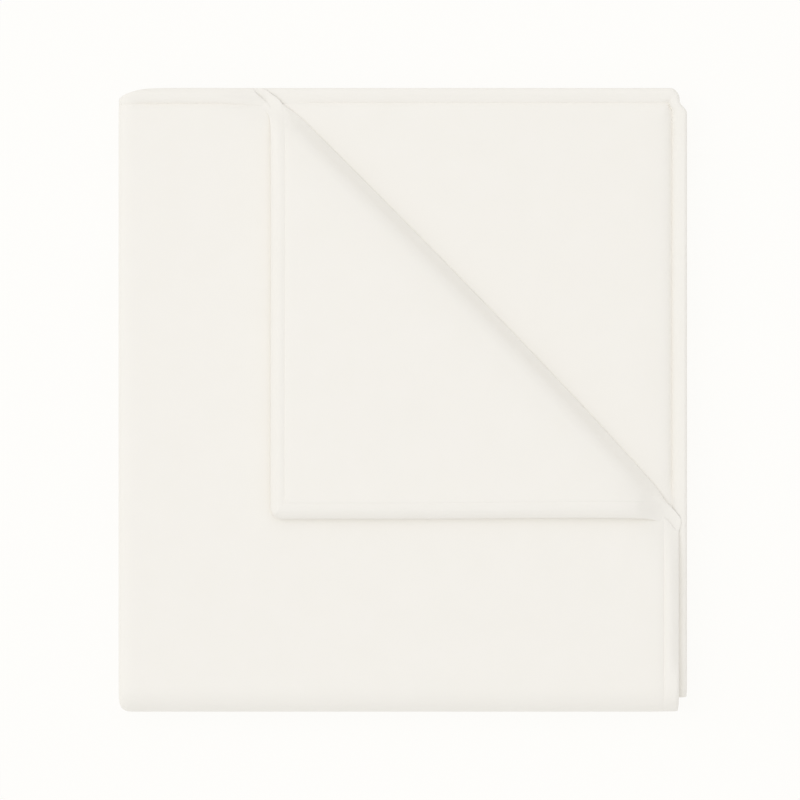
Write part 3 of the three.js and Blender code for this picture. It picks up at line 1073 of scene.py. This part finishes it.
    def build(self) -> bpy.types.Object:
        """Builds the binding as one closed ring of its rounded section.

        Returns:
            The dressed piece.
        """
        stations = self.stations()
        edge_across, edge_along = self.ring(stations, np.zeros((1, 1)))
        outer_up = np.sign(edge_across) * np.sign(edge_along) > 0
        turned = self.cloth.turned_share(edge_across, edge_along)
        outer_under = np.where(outer_up, turned, 1 - turned)
        outer = self.half_ring(stations, outer_under, Face.OUTER)
        inner = self.half_ring(stations, 1 - outer_under, Face.INNER)
        across, along, proud = [
            np.concatenate([front, back[:, -2::-1]], axis=1) for front, back in zip(outer, inner)
        ]
        points = self.cloth.place(across, along, proud).reshape(-1, 3)
        run = np.linspace(0, len(stations) * self.close_step, len(stations))[:, None]
        girth = np.broadcast_to(np.arange(across.shape[1])[None, :] * self.close_step, across.shape)
        cloth_uv = np.stack([np.broadcast_to(run, across.shape), girth], axis=-1).reshape(-1, 2)
        number = np.arange(across.size).reshape(across.shape)
        ahead, beside = np.roll(number, -1, axis=0), np.roll(number, -1, axis=1)
        diagonal = np.roll(ahead, -1, axis=1)
        triangles = np.concatenate(
            [
                np.stack([number.ravel(), ahead.ravel(), diagonal.ravel()], 1),
                np.stack([number.ravel(), diagonal.ravel(), beside.ravel()], 1),
            ]
        )
        piece = mesh_object("rolled_binding", points, triangles, cloth_uv)
        piece.data.materials.append(self.finish.build())
        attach(piece, "root")
        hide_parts("binding")
        LOG.info("%s: %d triangles", piece.name, len(triangles))
        return piece


@dataclass
class Studio:
    """A bright white table, an even white surround, a large soft light and a camera above."""

    table_reach: float = 3.0
    table_tone: float = 0.08
    table_glow: float = 0.895
    table_glow_colour: tuple[float, float, float] = (1.0, 0.992, 0.968)
    view_centre: tuple[float, float] = (-2.46 * MM, 0.0)
    view_width: float = 654.2 * MM
    view_height_z: float = 34 * MM
    lens: float = 300.0
    sensor: float = 36.0
    key_place: tuple[float, float, float] = (-4.0, 1.8, 5.6)
    key_size: float = 6.5
    key_irradiance: float = 0.35
    surround: float = 0.69
    surround_slope: tuple[float, float, float] = (-0.1, 0.03, 0.55)

    def build(self) -> None:
        """Builds the floor, the surround, the light and the camera."""
        self.build_floor()
        self.build_light()
        self.build_camera()

    def build_floor(self) -> None:
        """Builds the table top. It glows, so that it comes out as a brightly lit white table."""
        mesh = bpy.data.meshes.new("table_top")
        reach = self.table_reach
        mesh.from_pydata(
            [(-reach, -reach, 0), (reach, -reach, 0), (reach, reach, 0), (-reach, reach, 0)],
            [],
            [(0, 1, 2, 3)],
        )
        floor = bpy.data.objects.new("table_top", mesh)
        bpy.context.scene.collection.objects.link(floor)
        material = bpy.data.materials.new("white_table")
        material.use_nodes = True
        material.node_tree.nodes.clear()
        surface = add_node(
            material,
            "ShaderNodeBsdfPrincipled",
            {
                "Base Color": (self.table_tone, self.table_tone, self.table_tone, 1),
                "Roughness": 0.9,
                "Emission Color": (*self.table_glow_colour, 1),
                "Emission Strength": self.table_glow,
            },
            {},
        )
        add_node(material, "ShaderNodeOutputMaterial", {}, {"Surface": surface.outputs["BSDF"]})
        floor.data.materials.append(material)

    def build_light(self) -> None:
        """Builds the surround and the large soft key light at the upper left."""
        scene = bpy.context.scene
        scene.view_settings.view_transform = "Standard"
        world = bpy.data.worlds.new("surround")
        world.use_nodes = True
        background = world.node_tree.nodes["Background"]
        background.inputs["Color"].default_value = (1.0, 1.0, 1.0, 1)
        heading = add_node(world, "ShaderNodeTexCoord", {}, {})
        slope = add_node(
            world,
            "ShaderNodeVectorMath",
            {"operation": "DOT_PRODUCT", 1: self.surround_slope},
            {0: heading.outputs["Generated"]},
        )
        strength = add_node(
            world,
            "ShaderNodeMath",
            {"operation": "MULTIPLY_ADD", 1: self.surround, 2: self.surround},
            {0: slope.outputs["Value"]},
        )
        world.node_tree.links.new(strength.outputs[0], background.inputs["Strength"])
        scene.world = world
        lamp = bpy.data.lights.new("key", "AREA")
        lamp.shape = "SQUARE"
        lamp.size = self.key_size
        distance = np.linalg.norm(self.key_place)
        lamp.energy = self.key_irradiance * np.pi * distance**2
        key = bpy.data.objects.new("key", lamp)
        key.location = self.key_place
        key.rotation_euler = (-key.location).to_track_quat("-Z", "Y").to_euler()
        scene.collection.objects.link(key)

    def build_camera(self) -> None:
        """Builds the camera, straight above, framing the photograph's square."""
        camera = bpy.data.cameras.new("camera")
        camera.lens = self.lens
        camera.sensor_width = self.sensor
        distance = self.view_width * self.lens / self.sensor
        eye = bpy.data.objects.new("camera", camera)
        eye.location = (*self.view_centre, self.view_height_z + distance)
        bpy.context.scene.collection.objects.link(eye)
        bpy.context.scene.camera = eye


def main() -> None:
    """Builds every piece in order."""
    logging.basicConfig(level=logging.INFO, format="%(name)s: %(message)s")
    Studio().build()
    cloth = FoldedCloth()
    ComforterBody(cloth, CottonSateen("cotton_sateen_ivory", "F4F1EB", "F2EFE8")).build()
    RolledBinding(cloth, CottonSateen("cotton_sateen_binding", "F4F1EB", "F2EFE8")).build()
    bpy.context.view_layer.update()


if __name__ == "__main__":
    main()
